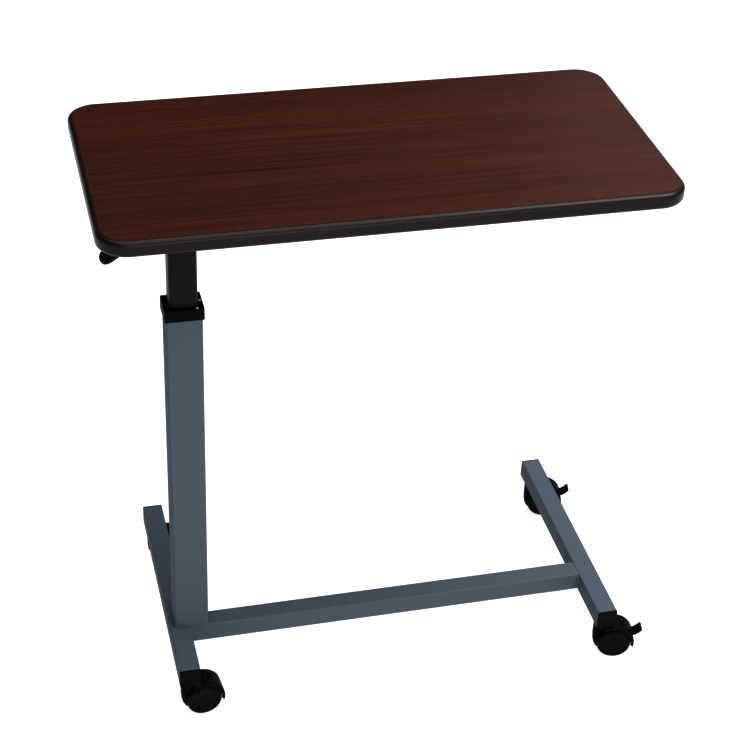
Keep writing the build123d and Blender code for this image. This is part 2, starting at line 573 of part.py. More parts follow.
def make_brake_slot(body):
    """The hood's cut-out for the brake lever, with a lug for its pin at each side."""
    slot_bottom, start, end = BRAKE_SLOT
    half = BRAKE_HALF + BRAKE_GAP
    body -= across(about_axle(sector(slot_bottom, HOOD_OUTER + OVERSHOOT, start, end)), half)
    pin_x, pin_z = brake_pin_place()
    lugs = rod_along_y(BRAKE_LUG_RADIUS, -half - BRAKE_LUG, half + BRAKE_LUG, pin_x, pin_z)
    body += lugs - rod_along_y(BRAKE_LUG_RADIUS + OVERSHOOT, -half, half, pin_x, pin_z)
    return body - rod_along_y(BRAKE_PIN_RADIUS + CLOSE_FIT, -HOOD_HALF, HOOD_HALF, pin_x, pin_z)


def caster_axle():
    return rod_along_y(AXLE_RADIUS, -AXLE_HALF, AXLE_HALF, TRAIL, WHEEL_RADIUS)


def caster_wheel(side):
    """One moulded wheel: plain outer face with a soft shoulder, hollow towards the web."""
    width = WHEEL_OUTER - WHEEL_INNER
    wheel = post(WHEEL_RADIUS, 0, width)
    for end, radius in ((0, WHEEL_INNER_ROUND), (-1, WHEEL_SHOULDER)):
        wheel = fillet(wheel.edges().filter_by(GeomType.CIRCLE).sort_by(Axis.Z)[end], radius)
    wheel -= post(WHEEL_RIM, -OVERSHOOT, WHEEL_HOLLOW) - post(WHEEL_HUB, -OVERSHOOT, WHEEL_HOLLOW)
    wheel -= post(AXLE_RADIUS + RUNNING_FIT, -OVERSHOOT, width - WHEEL_BORE_END)
    return Pos(TRAIL, side * WHEEL_INNER, WHEEL_RADIUS) * Rot(-90 * side, 0, 0) * wheel


def brake_lever():
    """Foot pedal: a curved shoe in the hood's cut-out, with a tab to tread on."""
    pin_x, pin_z = brake_pin_place()
    lever = across(about_axle(sector(SHOE_INNER, SHOE_OUTER, SHOE_START, SHOE_END)), BRAKE_HALF)
    lever += rod_along_y(SHOE_BARREL_RADIUS, -BRAKE_HALF, BRAKE_HALF, pin_x, pin_z)
    lever += across(strip(PEDAL_PATH, PEDAL_THICKNESS), BRAKE_HALF)
    return lever - rod_along_y(BRAKE_PIN_RADIUS + RUNNING_FIT, -HOOD_HALF, HOOD_HALF, pin_x, pin_z)


def brake_pin():
    pin_x, pin_z = brake_pin_place()
    reach = BRAKE_HALF + BRAKE_GAP + BRAKE_LUG
    return rod_along_y(BRAKE_PIN_RADIUS, -reach, reach, pin_x, pin_z)


def caster_stem(x, y):
    """Swivel pin, seat flange and threaded end, screwed into the rail."""
    flange = post(STEM_FLANGE_RADIUS, BODY_TOP + SLIDE_GAP, RAIL_UNDERSIDE, x, y)
    return flange + post(STEM_RADIUS, STEM_BOTTOM, RAIL_UNDERSIDE + STEM_REACH, x, y)


def caster_nut(x, y):
    low = RAIL_UNDERSIDE + RAIL_WALL
    return hex_nut(CASTER_NUT_RADIUS, STEM_RADIUS + RUNNING_FIT, low, low + CASTER_NUT, x, y)


def all_parts():
    left_bar_x, right_bar_x = cross_bar_middles()
    parts = {
        "left_base_rail": base_rail(LEFT_RAIL_X) - bolt_hole(MAST_BOLT_X[0]),
        "right_base_rail": base_rail(RIGHT_RAIL_X),
        "cross_rail": cross_rail(),
        "rail_end_caps": rail_end_caps(),
        "weld_beads": weld_beads(),
        "caster_stems": [caster_stem(x, y) for x, y in caster_places()],
        "caster_nuts": [caster_nut(x, y) for x, y in caster_places()],
        "mast_tube": mast_tube(),
        "mast_foot_plate": mast_foot_plate(),
        "mast_bolts": mast_bolts(),
        "mast_bolt_washers": mast_bolt_washers(),
        "mast_collar": mast_collar(),
        "collar_screws": collar_screws(),
        "gas_spring_cylinder": gas_spring_cylinder(),
        "gas_spring_rod_guide": gas_spring_rod_guide(),
        "gas_spring_rod": gas_spring_rod(),
        "gas_spring_piston": gas_spring_piston(),
        "gas_spring_release_pin": gas_spring_release_pin(),
        "rod_lock_nuts": rod_lock_nuts(),
        "inner_column": inner_column(),
        "column_guide_bush": column_guide_bush(),
        "support_beam": support_beam(),
        "left_cross_bar": cross_bar(left_bar_x),
        "right_cross_bar": cross_bar(right_bar_x),
        "tabletop_board": tabletop_board(),
        "top_laminate": top_layer(TOP_HEIGHT - LAMINATE, TOP_HEIGHT),
        "backing_laminate": backing_laminate(),
        "edge_moulding": edge_moulding(),
        "tabletop_screws": tabletop_screws(),
        "lever_pivot_pin": lever_pivot_pin(),
        "pivot_clips": pivot_clips(),
        "release_lever_arm": release_lever_arm(),
        "release_lever_grip": release_lever_grip(),
        "lever_return_spring": lever_return_spring(),
    }
    for caster in CASTERS:
        name, braked = caster[0], caster[-1]
        pieces = {
            "caster_body": caster_body(braked),
            "caster_axle": caster_axle(),
            "near_wheel": caster_wheel(-1),
            "far_wheel": caster_wheel(1),
        }
        if braked:
            pieces |= {"brake_lever": brake_lever(), "brake_pin": brake_pin()}
        for piece, shape in pieces.items():
            parts[f"{name}_{piece}"] = place_caster(shape, caster)
    return parts


os.makedirs("parts", exist_ok=True)
for node, shape in all_parts().items():
    pieces = shape if isinstance(shape, list) else [shape]
    solids = [solid for piece in pieces for solid in piece.solids()]
    export_step(Compound(children=solids), f"parts/{node}.step")
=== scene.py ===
"""Looks of an overbed table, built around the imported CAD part: metres, in the part's own frame."""

import json
from math import atan2, cos, pi, radians, sin, tan

import bmesh
import bpy
from mathutils import Matrix, Vector


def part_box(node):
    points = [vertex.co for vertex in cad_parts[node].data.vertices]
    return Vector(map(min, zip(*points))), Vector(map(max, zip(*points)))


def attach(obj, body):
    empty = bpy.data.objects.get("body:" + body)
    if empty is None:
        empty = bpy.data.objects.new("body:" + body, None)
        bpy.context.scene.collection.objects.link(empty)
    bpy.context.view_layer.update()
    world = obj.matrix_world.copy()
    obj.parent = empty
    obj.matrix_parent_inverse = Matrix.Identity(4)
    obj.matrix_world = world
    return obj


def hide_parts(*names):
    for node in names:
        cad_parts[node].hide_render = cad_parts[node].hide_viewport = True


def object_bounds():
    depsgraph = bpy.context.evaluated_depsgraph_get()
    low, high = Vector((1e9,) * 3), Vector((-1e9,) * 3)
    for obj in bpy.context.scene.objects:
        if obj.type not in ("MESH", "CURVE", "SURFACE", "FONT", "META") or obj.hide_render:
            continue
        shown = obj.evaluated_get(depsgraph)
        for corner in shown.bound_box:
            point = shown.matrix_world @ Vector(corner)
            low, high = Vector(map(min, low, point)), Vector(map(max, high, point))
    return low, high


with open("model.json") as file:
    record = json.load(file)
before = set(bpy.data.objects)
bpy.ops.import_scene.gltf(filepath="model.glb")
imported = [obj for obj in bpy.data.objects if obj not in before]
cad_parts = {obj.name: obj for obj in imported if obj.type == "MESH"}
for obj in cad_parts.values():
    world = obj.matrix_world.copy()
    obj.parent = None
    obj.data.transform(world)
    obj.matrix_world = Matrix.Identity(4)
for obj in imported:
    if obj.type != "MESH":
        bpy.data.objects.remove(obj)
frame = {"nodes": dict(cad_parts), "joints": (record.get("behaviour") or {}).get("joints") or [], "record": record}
cad_low, cad_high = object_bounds()

# ---- camera: a standing person's view from the front left, looking down on the top
CAMERA_PLACE = (-0.5622, -2.0800, 1.9246)
CAMERA_YAW, CAMERA_PITCH, CAMERA_ROLL = 15.312, -34.674, 2.676
CAMERA_LENS, SENSOR = 87.84, 36.0


def add_camera():
    yaw, pitch, roll = (radians(a) for a in (CAMERA_YAW, CAMERA_PITCH, CAMERA_ROLL))
    ahead = Vector((sin(yaw) * cos(pitch), cos(yaw) * cos(pitch), sin(pitch)))
    level_right = Vector((cos(yaw), -sin(yaw), 0))
    level_up = level_right.cross(ahead)
    right = cos(roll) * level_right + sin(roll) * level_up
    up = -sin(roll) * level_right + cos(roll) * level_up
    turn = Matrix((right, up, -ahead)).transposed().to_4x4()
    data = bpy.data.cameras.new("camera")
    data.lens, data.sensor_width = CAMERA_LENS, SENSOR
    data.clip_start, data.clip_end = 0.05, 60.0
    camera = bpy.data.objects.new("camera", data)
    camera.matrix_world = Matrix.Translation(CAMERA_PLACE) @ turn
    bpy.context.scene.collection.objects.link(camera)
    bpy.context.scene.camera = camera


# ---- mesh building

def rounded_rect(width, depth, radius, z=0.0, steps=8, x=0.0, y=0.0):
    """A level ring of points round a rectangle with round corners, anticlockwise."""
    ring = []
    for quarter in range(4):
        mid_x = x + (width / 2 - radius) * (1 if quarter in (0, 3) else -1)
        mid_y = y + (depth / 2 - radius) * (1 if quarter in (0, 1) else -1)
        for i in range(steps + 1):
            a = pi / 2 * (quarter + i / steps)
            ring.append((mid_x + radius * cos(a), mid_y + radius * sin(a), z))
    return ring


def arc(x, z, radius, start, end, steps=6):
    """Points on a circle arc in a side view, between two angles in degrees."""
    angles = [radians(start + (end - start) * i / steps) for i in range(steps + 1)]
    return [(x + radius * cos(a), z + radius * sin(a)) for a in angles]


def smooth_bends(corners, radius, steps=5):
    """A path through corner points with each bend rounded to a radius."""
    path = [Vector(corners[0])]
    for before, corner, after in zip(corners, corners[1:], corners[2:]):
        corner = Vector(corner)
        into, out = (corner - Vector(before)).normalized(), (Vector(after) - corner).normalized()
        turn = into.angle_signed(out)
        setback = radius * tan(abs(turn) / 2)
        start = corner - into * setback
        side = Vector((into.y, -into.x)) * (1 if turn > 0 else -1)
        centre = start + side * radius
        for i in range(steps + 1):
            spoke = start - centre
            spoke.rotate(Matrix.Rotation(-turn * i / steps, 2))
            path.append(centre + spoke)
    path.append(Vector(corners[-1]))
    return path


def thicken(path, thickness):
    """The closed outline of a strip of even thickness along a path."""
    left, right = [], []
    for i, point in enumerate(path):
        ahead = (path[min(i + 1, len(path) - 1)] - path[max(i - 1, 0)]).normalized()
        across = Vector((-ahead.y, ahead.x)) * thickness / 2
        left.append(point + across)
        right.append(point - across)
    return left + right[::-1]


def quilt(bm, rows, wrap_rows=False, wrap_columns=True, cap=False):
    """Quads between rows of points, with the first and last rows capped if asked."""
    grid = [[bm.verts.new(point) for point in row] for row in rows]
    pairs = list(zip(grid, grid[1:] + ([grid[0]] if wrap_rows else [])))
    for a, b in pairs:
        count = len(a)
        for i in range(count if wrap_columns else count - 1):
            j = (i + 1) % count
            bm.faces.new((a[i], a[j], b[j], b[i]))
    if cap:
        bm.faces.new(grid[0][::-1])
        bm.faces.new(grid[-1])


def turned(bm, profile, segments=48, place=None, wrap=False):
    """A turned shape: (radius, height) points swept once round the local Z axis."""
    place = place or Matrix.Identity(4)
    rows = []
    for i in range(segments):
        a = 2 * pi * i / segments
        rows.append([place @ Vector((r * cos(a), r * sin(a), z)) for r, z in profile])
    quilt(bm, rows, wrap_rows=True, wrap_columns=wrap)


def bar(bm, outline, low, high, axis="Y", place=None):
    """An outline in a side view, made solid between two depths."""
    place = place or Matrix.Identity(4)
    put = {"Y": lambda a, b, c: Vector((a, c, b)), "X": lambda a, b, c: Vector((c, a, b)),
           "Z": lambda a, b, c: Vector((a, b, c))}[axis]
    quilt(bm, [[place @ put(a, b, depth) for a, b in outline] for depth in (low, high)], cap=True)


def make_mesh(name, bm, sharp=32.0):
    """Turns a bmesh into a mesh with smooth shading and its true edges kept sharp."""
    bmesh.ops.remove_doubles(bm, verts=bm.verts, dist=1e-6)
    bmesh.ops.dissolve_degenerate(bm, edges=bm.edges, dist=1e-7)
    bmesh.ops.recalc_face_normals(bm, faces=bm.faces)
    mesh = bpy.data.meshes.new(name)
    bm.to_mesh(mesh)
    bm.free()
    mesh.shade_smooth()
    mesh.set_sharp_from_angle(angle=radians(sharp))
    return mesh


# ---- materials

MIX_A, MIX_B, MIX_RESULT = 6, 7, 2  # the colour sockets of a Mix node


class Nodes:
    """Short calls for building a material's nodes."""

    def __init__(self, name):
        self.material = bpy.data.materials.new(name)
        self.material.use_nodes = True
        self.tree = self.material.node_tree
        self.shader = self.tree.nodes["Principled BSDF"]
        place = self.tree.nodes.new("ShaderNodeTexCoord")
        self.place = place.outputs["Object"]

    def link(self, source, target):
        self.tree.links.new(source, target)

    def mapping(self, scale):
        node = self.tree.nodes.new("ShaderNodeMapping")
        node.inputs["Scale"].default_value = scale
        self.link(self.place, node.inputs["Vector"])
        return node.outputs["Vector"]

    def noise(self, scale, detail=3.0, roughness=0.5, vector=None, distortion=0.0):
        node = self.tree.nodes.new("ShaderNodeTexNoise")
        for socket, value in (("Scale", scale), ("Detail", detail), ("Roughness", roughness),
                              ("Distortion", distortion)):
            node.inputs[socket].default_value = value
        self.link(vector or self.place, node.inputs["Vector"])
        return node.outputs["Fac"]

    def cells(self, scale, vector=None):
        node = self.tree.nodes.new("ShaderNodeTexVoronoi")
        node.inputs["Scale"].default_value = scale
        self.link(vector or self.place, node.inputs["Vector"])
        return node.outputs["Distance"]

    def ramp(self, value, *stops):
        """Colours or greys at positions from 0 to 1."""
        node = self.tree.nodes.new("ShaderNodeValToRGB")
        ramp = node.color_ramp
        while len(ramp.elements) < len(stops):
            ramp.elements.new(0.5)
        for element, (position, colour) in zip(ramp.elements, stops):
            element.position = position
            element.color = (*colour, 1) if isinstance(colour, tuple) else (colour,) * 3 + (1,)
        self.link(value, node.inputs["Fac"])
        return node.outputs["Color"]

    def mix(self, mode, factor, a, b):
        node = self.tree.nodes.new("ShaderNodeMix")
        node.data_type, node.blend_type = "RGBA", mode
        node.inputs["Factor"].default_value = factor
        self.link(a, node.inputs[MIX_A])
        self.link(b, node.inputs[MIX_B])
        return node.outputs[MIX_RESULT]

    def multiply(self, a, b):
        return self.mix("MULTIPLY", 1.0, a, b)

    def spread(self, value, low, high):
        node = self.tree.nodes.new("ShaderNodeMapRange")
        node.inputs["To Min"].default_value, node.inputs["To Max"].default_value = low, high
        self.link(value, node.inputs["Value"])
        return node.outputs["Result"]

    def bump(self, height, strength, distance, before=None):
        node = self.tree.nodes.new("ShaderNodeBump")
        node.inputs["Strength"].default_value = strength
        node.inputs["Distance"].default_value = distance
        self.link(height, node.inputs["Height"])
        if before:
            self.link(before, node.inputs["Normal"])
        return node.outputs["Normal"]

    def finish(self, colour=None, roughness=None, normal=None, **constants):
        for socket, source in (("Base Color", colour), ("Roughness", roughness), ("Normal", normal)):
            if source is not None:
                self.link(source, self.shader.inputs[socket])
        for socket, value in constants.items():
            self.shader.inputs[socket.replace("_", " ")].default_value = value
        return self.material


def wood_laminate():
    """Dark red mahogany print: long streaks and short pores along X, under a satin overlay."""
    n = Nodes("wood_laminate")
    broad = n.noise(1.0, 4.0, 0.55, n.mapping((1.1, 16.0, 1.0)), 0.5)
    streaks = n.noise(1.0, 5.0, 0.60, n.mapping((3.4, 330.0, 1.0)), 0.25)
    fine = n.noise(1.0, 3.0, 0.7, n.mapping((9.0, 640.0, 1.0)))
    pores = n.noise(1.0, 2.0, 0.5, n.mapping((55.0, 1300.0, 1.0)))
    base = n.ramp(broad, (0.30, (0.0400, 0.0128, 0.0066)), (0.52, (0.0500, 0.0142, 0.0067)),
                  (0.72, (0.0590, 0.0166, 0.0073)))
    dark = n.ramp(streaks, (0.34, 0.64), (0.50, 1.0), (0.66, 1.18))
    hair = n.ramp(fine, (0.32, 0.80), (0.60, 1.12))
    pit = n.ramp(pores, (0.34, 0.55), (0.44, 1.0))
    colour = n.multiply(n.multiply(base, dark), hair)
    colour = n.mix("MIX", 0.7, colour, n.multiply(colour, pit))
    roughness = n.spread(streaks, 0.36, 0.46)
    normal = n.bump(n.noise(900.0, 2.0), 0.06, 0.0004, n.bump(pores, 0.10, 0.0003))
    return n.finish(colour, roughness, normal, Specular_IOR_Level=0.20)


def moulding_vinyl():
    """Brown-black extruded vinyl with a faint leather grain."""
    n = Nodes("edge_moulding")
    cloud = n.noise(9.0, 3.0)
    colour = n.ramp(cloud, (0.3, (0.0112, 0.0050, 0.0058)), (0.7, (0.0152, 0.0070, 0.0079)))
    grain = n.cells(1500.0)
    roughness = n.spread(n.noise(60.0, 3.0), 0.30, 0.40)
    return n.finish(colour, roughness, n.bump(grain, 0.10, 0.0002), Specular_IOR_Level=0.26)


def silver_vein():
    """Blue-grey powder coat with fine darker veins and a slight orange peel."""
    n = Nodes("painted_steel")
    speckle = n.noise(1700.0, 2.0, 0.6)
    cloud = n.noise(3.0, 2.0, 0.5)
    base = n.ramp(cloud, (0.30, (0.093, 0.118, 0.143)), (0.70, (0.103, 0.130, 0.157)))
    veins = n.ramp(speckle, (0.34, 0.78), (0.50, 1.0), (0.68, 1.16))
    colour = n.multiply(base, veins)
    roughness = n.spread(n.noise(340.0, 3.0), 0.56, 0.68)
    normal = n.bump(n.noise(620.0, 2.0), 0.08, 0.0004, n.bump(speckle, 0.08, 0.0002))
    return n.finish(colour, roughness, normal, Specular_IOR_Level=0.06)


def black_satin_paint():
    """Black powder coat on the sliding column, with faint vertical rub marks."""
    n = Nodes("column_paint")
    rub = n.noise(1.0, 4.0, 0.6, n.mapping((900.0, 900.0, 5.0)))
    colour = n.ramp(rub, (0.35, (0.0085, 0.0078, 0.0062)), (0.70, (0.0135, 0.0122, 0.0098)))
    roughness = n.spread(rub, 0.40, 0.54)
    return n.finish(colour, roughness, n.bump(n.noise(700.0, 2.0), 0.10, 0.0004), Specular_IOR_Level=0.15)


def moulded_plastic(name, dark, light, low, high):
    """Moulded plastic with a spark-eroded grain and slight colour drift."""
    n = Nodes(name)
    cloud = n.noise(24.0, 3.0)
    colour = n.ramp(cloud, (0.3, dark), (0.7, light))
    roughness = n.spread(n.noise(130.0, 4.0), low, high)
    return n.finish(colour, roughness, n.bump(n.noise(2200.0, 2.0), 0.16, 0.0003), Specular_IOR_Level=0.05)


def plated_steel(name, tint, low, high, stretch):
    """Bare or plated metal with drawn or turned marks."""
    n = Nodes(name)
    marks = n.noise(1.0, 4.0, 0.6, n.mapping(stretch))
    light = tuple(min(1.0, c * 1.12) for c in tint)
    dark = tuple(c * 0.82 for c in tint)
    colour = n.ramp(marks, (0.3, dark), (0.7, light))
    return n.finish(colour, n.spread(marks, low, high), n.bump(marks, 0.08, 0.0003), Metallic=1.0)


def particle_board():
    n = Nodes("particle_board")
    chips = n.cells(420.0, n.mapping((1.0, 0.6, 1.0)))
    colour = n.ramp(chips, (0.1, (0.46, 0.33, 0.19)), (0.5, (0.58, 0.43, 0.26)),
                    (0.9, (0.36, 0.25, 0.14)))
    return n.finish(colour, n.spread(chips, 0.75, 0.95), n.bump(chips, 0.4, 0.0006))


def backing_sheet():
    """Plain brown kraft-phenolic backer with a faint fibre mottle."""
    n = Nodes("backing_sheet")
    fibre = n.noise(1.0, 5.0, 0.65, n.mapping((60.0, 160.0, 60.0)), 0.8)
    colour = n.ramp(fibre, (0.3, (0.030, 0.017, 0.011)), (0.7, (0.048, 0.028, 0.018)))
    return n.finish(colour, n.spread(fibre, 0.5, 0.66), n.bump(fibre, 0.12, 0.0004))


# slot: darkest and lightest colour, smoothest and roughest finish
PLASTICS = {
    "cylinder_paint": ((0.010, 0.010, 0.011), (0.016, 0.016, 0.017), 0.25, 0.35),
    "black_plastic": ((0.0045, 0.0048, 0.0052), (0.0075, 0.0078, 0.0085), 0.44, 0.58),
    "hood_plastic": ((0.0042, 0.0045, 0.0050), (0.0070, 0.0074, 0.0082), 0.42, 0.56),
    "wheel_nylon": ((0.0045, 0.0048, 0.0054), (0.0075, 0.0080, 0.0088), 0.38, 0.52),
    "guide_nylon": ((0.55, 0.53, 0.47), (0.62, 0.60, 0.54), 0.40, 0.55),
}
# slot: tint, smoothest and roughest finish, and how the marks are stretched
METALS = {
    "zinc_steel": ((0.72, 0.73, 0.75), 0.38, 0.55, (300.0, 300.0, 300.0)),
    "spring_steel": ((0.36, 0.35, 0.34), 0.30, 0.44, (300.0, 300.0, 300.0)),
    "rod_chrome": ((0.62, 0.63, 0.64), 0.10, 0.18, (900.0, 900.0, 6.0)),
}


def make_materials():
    made = {
        "painted_steel": silver_vein(),
        "column_paint": black_satin_paint(),
        "particle_board": particle_board(),
        "wood_laminate": wood_laminate(),
        "backing_sheet": backing_sheet(),
        "edge_moulding": moulding_vinyl(),
    }
    made |= {slot: moulded_plastic(slot, *look) for slot, look in PLASTICS.items()}
    made |= {slot: plated_steel(slot, *look) for slot, look in METALS.items()}
    return made


def dress_cad_nodes():
    """Gives each carried-over CAD node the material of its slot in the record."""
    for row in frame["record"]["subparts"]:
        for material_slot in frame["nodes"][row["node"]].material_slots:
            material_slot.material = materials[row["material_slot"]]


def piece(name, mesh, body, slot, stands_for=(), bevel=0.0):
    """Adds a finished mesh to the scene, riding on a CAD body in a slot's material."""
    obj = bpy.data.objects.new(name, mesh)
    bpy.context.scene.collection.objects.link(obj)
    mesh.materials.append(materials[slot])
    if bevel:
        edge = obj.modifiers.new("edge", "BEVEL")
        edge.width, edge.segments, edge.limit_method = bevel, 3, "ANGLE"
        edge.angle_limit = radians(40)
        edge.harden_normals = True
    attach(obj, body)
    if stands_for:
        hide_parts(*stands_for)
    return obj


def cut(mesh, cutter):
    """A mesh with another one's volume taken away."""
    solid, tool = (bpy.data.objects.new("cut", m) for m in (mesh, cutter))
    for obj in (solid, tool):
        bpy.context.scene.collection.objects.link(obj)
    less = solid.modifiers.new("less", "BOOLEAN")
    less.operation, less.solver, less.object = "DIFFERENCE", "EXACT", tool
    graph = bpy.context.evaluated_depsgraph_get()
    result = bpy.data.meshes.new_from_object(solid.evaluated_get(graph))
    for obj in (solid, tool):
        bpy.data.objects.remove(obj)
    result.shade_smooth()
    result.set_sharp_from_angle(angle=radians(32))
    return result


def joined(name, *meshes):
    """One mesh from several, each of them already placed."""
    bm = bmesh.new()
    for mesh in meshes:
        bm.from_mesh(mesh)
    mesh = bpy.data.meshes.new(name)
    bm.to_mesh(mesh)
    bm.free()
    return mesh


def moved(mesh, matrix):
    copy = mesh.copy()
    copy.transform(matrix)
    return copy


def solids(node):
    """(low, high) of each separate solid in a CAD node, in order of X and then Y."""
    bm = bmesh.new()
    bm.from_mesh(frame["nodes"][node].data)
    bmesh.ops.remove_doubles(bm, verts=bm.verts, dist=1e-6)
    left, boxes = set(bm.verts), []
    while left:
        group, todo = [], [left.pop()]
        while todo:
            vert = todo.pop()
            group.append(vert.co.copy())
            near = {edge.other_vert(vert) for edge in vert.link_edges} & left
            left -= near
            todo += near
        boxes.append(tuple(Vector(map(pick, zip(*group))) for pick in (min, max)))
    bm.free()
    return sorted(boxes, key=lambda b: (round(b[0].x, 4), round(b[0].y, 4)))


# ---- tabletop

TOP_CORNER = 0.040
BEAD_ROUND, BEAD_LIP = 0.0066, 0.0005
BARB_DEPTH, BARB_HALF = 0.008, 0.0012


def edge_moulding():
    """Bullnose edging round the top, with a rounded lip at the laminate and a barb in the board."""
    low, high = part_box("edge_moulding")
    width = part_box("top_laminate")[0].x - low.x
    length, depth, thick = high - low
    middle = (low + high) / 2
    profile = arc(width - BEAD_LIP, thick - BEAD_LIP, BEAD_LIP, 0, 90, 3)
    profile += arc(BEAD_ROUND, thick - BEAD_ROUND, BEAD_ROUND, 90, 180, 10)
    profile += arc(BEAD_ROUND, BEAD_ROUND, BEAD_ROUND, 180, 270, 10)
    profile += arc(width - BEAD_LIP, BEAD_LIP, BEAD_LIP, 270, 360, 3)
    for inset, side in ((width, -1), (width + BARB_DEPTH, -1), (width + BARB_DEPTH, 1), (width, 1)):
        profile.append((inset, thick / 2 + side * BARB_HALF))
    bm = bmesh.new()
    quilt(bm, [rounded_rect(length - 2 * inset, depth - 2 * inset, TOP_CORNER - inset,
                            low.z + z, 14, middle.x, middle.y) for inset, z in profile], wrap_rows=True)
    piece("edge_moulding_bead", make_mesh("edge_moulding_bead", bm), "lift", "edge_moulding",
          ["edge_moulding"])


# ---- fasteners

def pan_screw(head_radius, head, shank_radius, shank):
    """A pan-head screw with a cross recess, head up, its seat at the origin."""
    dome = [(0, head), (head_radius * 0.45, head * 0.98), (head_radius * 0.78, head * 0.80),
            (head_radius * 0.95, head * 0.45), (head_radius, 0)]
    bm = bmesh.new()
    turned(bm, dome + [(shank_radius, 0), (shank_radius, -shank), (0, -shank)], 28)
    screw = make_mesh("screw", bm)
    bm = bmesh.new()
    a, b = head_radius * 0.55, head_radius * 0.13
    cross = [(b, b), (b, a), (-b, a), (-b, b), (-a, b), (-a, -b), (-b, -b), (-b, -a), (b, -a), (b, -b),
             (a, -b), (a, b)]
    bar(bm, cross, head * 0.45, head * 1.3, "Z")
    return cut(screw, make_mesh("cross", bm))


HEAD_DOWN = Matrix.Rotation(pi, 4, "X")
SCREW_TURN = 0.9
COLLAR_SCREW_HEAD, BOLT_RADIUS = 0.0022, 0.004
BEAM_SHEET, BEND_RADIUS, BEAM_WIDTH = 0.002, 0.003, 0.050


def tabletop_screws():
    """Ten pan-head screws, driven up through the beam's flanges and the cross bars."""
    template, heads = None, []
    bars = (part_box("left_cross_bar"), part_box("right_cross_bar"))
    flange_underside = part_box("support_beam")[1].z - BEAM_SHEET
    for i, (low, high) in enumerate(solids("tabletop_screws")):
        in_bar = any(bar_low.x < low.x and high.x < bar_high.x for bar_low, bar_high in bars)
        seat = bars[0][0].z if in_bar else flange_underside
        radius = (high.x - low.x) / 2
        template = template or pan_screw(radius, seat - low.z, radius / 2, high.z - seat)
        place = Matrix.Translation(((low.x + high.x) / 2, (low.y + high.y) / 2, seat))
        heads.append(moved(template, place @ HEAD_DOWN @ Matrix.Rotation(SCREW_TURN * i, 4, "Z")))
    piece("tabletop_screw_set", joined("tabletop_screw_set", *heads), "lift", "zinc_steel",
          ["tabletop_screws"])


def collar_screws():
    """Two small bright screws in the collar's top."""
    low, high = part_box("collar_screws")
    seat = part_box("mast_collar")[1].z
    radius = COLLAR_SCREW_HEAD
    template = pan_screw(radius, high.z - seat, radius / 2, seat - low.z)
    heads = [moved(template, Matrix.Translation(((a.x + b.x) / 2, (a.y + b.y) / 2, seat))
                   @ Matrix.Rotation(SCREW_TURN * i, 4, "Z"))
             for i, (a, b) in enumerate(solids("collar_screws"))]
    piece("collar_screw_pair", joined("collar_screw_pair", *heads), "base", "zinc_steel", ["collar_screws"])


def mast_bolts():
    """Hexagon bolts with chamfered heads, from under the rails."""
    washer_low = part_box("mast_bolt_washers")[0].z
    bolts = []
    for low, high in solids("mast_bolts"):
        radius, head = (high.x - low.x) / 2, washer_low - low.z
        bm = bmesh.new()
        rows = []
        for scale, z in ((0.80, 0.0), (0.86, 0.0), (1.0, 0.14), (1.0, 1.0)):
            rows.append([(scale * radius * cos(pi / 3 * i), scale * radius * sin(pi / 3 * i), z * head)
                         for i in range(6)])
        quilt(bm, rows, cap=True)
        tip = high.z - low.z
        turned(bm, [(0, head), (BOLT_RADIUS, head), (BOLT_RADIUS, tip), (0, tip)], 24)
        mesh = make_mesh("bolt", bm)
        mesh.transform(Matrix.Translation(((low.x + high.x) / 2, (low.y + high.y) / 2, low.z)))
        bolts.append(mesh)
    piece("mast_bolt_pair", joined("mast_bolt_pair", *bolts), "base", "zinc_steel", ["mast_bolts"], 0.0003)


def mast_bolt_washers():
    washers = []
    for low, high in solids("mast_bolt_washers"):
        radius, thick = (high.x - low.x) / 2, high.z - low.z
        edge = thick * 0.3
        bm = bmesh.new()
        bore = BOLT_RADIUS + edge / 2
        turned(bm, [(bore, 0), (radius - edge, 0), (radius, edge), (radius, thick - edge),
                    (radius - edge, thick), (bore, thick)], 40, wrap=True)
        mesh = make_mesh("washer", bm)
        mesh.transform(Matrix.Translation(((low.x + high.x) / 2, (low.y + high.y) / 2, low.z)))
        washers.append(mesh)
    piece("mast_washer_pair", joined("mast_washer_pair", *washers), "base", "zinc_steel",
          ["mast_bolt_washers"])


# ---- base frame

RAIL_CORNER = 0.0024
TUBE_WALL = 0.0016
CAP_ROUND, CAP_PANEL, CAP_PLUG, PLUG_WALL = 0.0014, 0.0042, 0.008, 0.002
PANEL_SLOPE, PANEL_DEPTH = 0.0004, 0.0003
WELD_LEG, WELD_RIPPLE, WELD_TAPER = 0.003, 0.0021, 0.003


